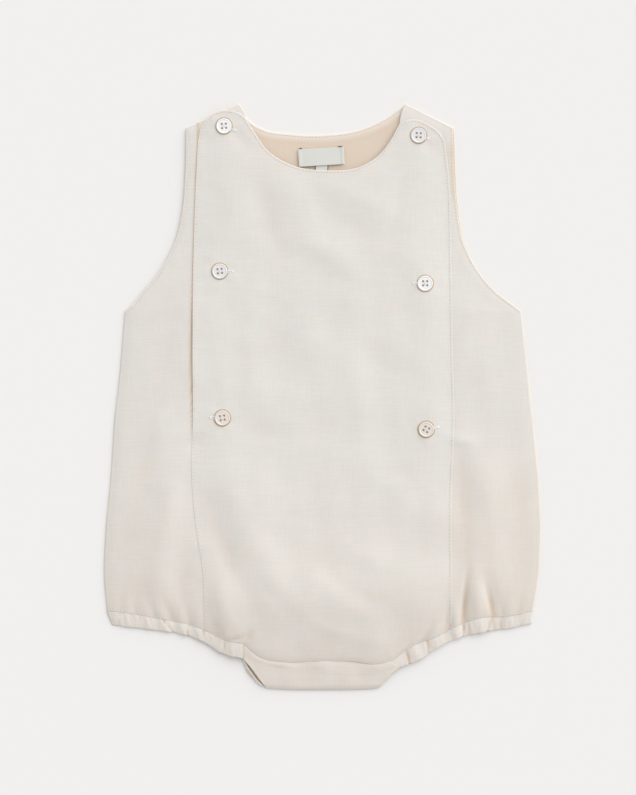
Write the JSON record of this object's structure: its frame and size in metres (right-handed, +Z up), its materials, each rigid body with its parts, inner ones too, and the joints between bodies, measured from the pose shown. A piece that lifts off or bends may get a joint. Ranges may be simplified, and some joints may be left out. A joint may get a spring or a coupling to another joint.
{
  "type": "baby romper",
  "caption": "Sleeveless bubble romper laid flat, with a buttoned centre front over two side fronts, gathered leg casings and a folded crotch strip.",
  "frame": {"origin": "on the surface the garment lies on, under the middle of its outline", "axes": "+Y from the crotch to the neck, +X from left to right as seen from above, +Z up out of the buttoned front"},
  "size_m": [0.2962, 0.3984, 0.0074],
  "materials": {
    "linen": "plain-woven cream linen and cotton, matt, with slight slubs",
    "woven_label": "smooth pale woven tape, bare",
    "shell_button": "polished white shell with a faint pearly play"
  },
  "bodies": {
    "root": {"back": "linen", "side_front_left": "linen", "side_front_right": "linen", "centre_front": "linen", "casing_back_left": "linen", "casing_back_right": "linen", "casing_front_left": "linen", "casing_front_right": "linen", "crotch_strip": "linen", "neck_label": "woven_label", "size_tag": "woven_label", "button_top_left": "shell_button", "button_top_right": "shell_button", "button_middle_left": "shell_button", "button_middle_right": "shell_button", "button_low_left": "shell_button", "button_low_right": "shell_button"}
  },
  "joints": []
}
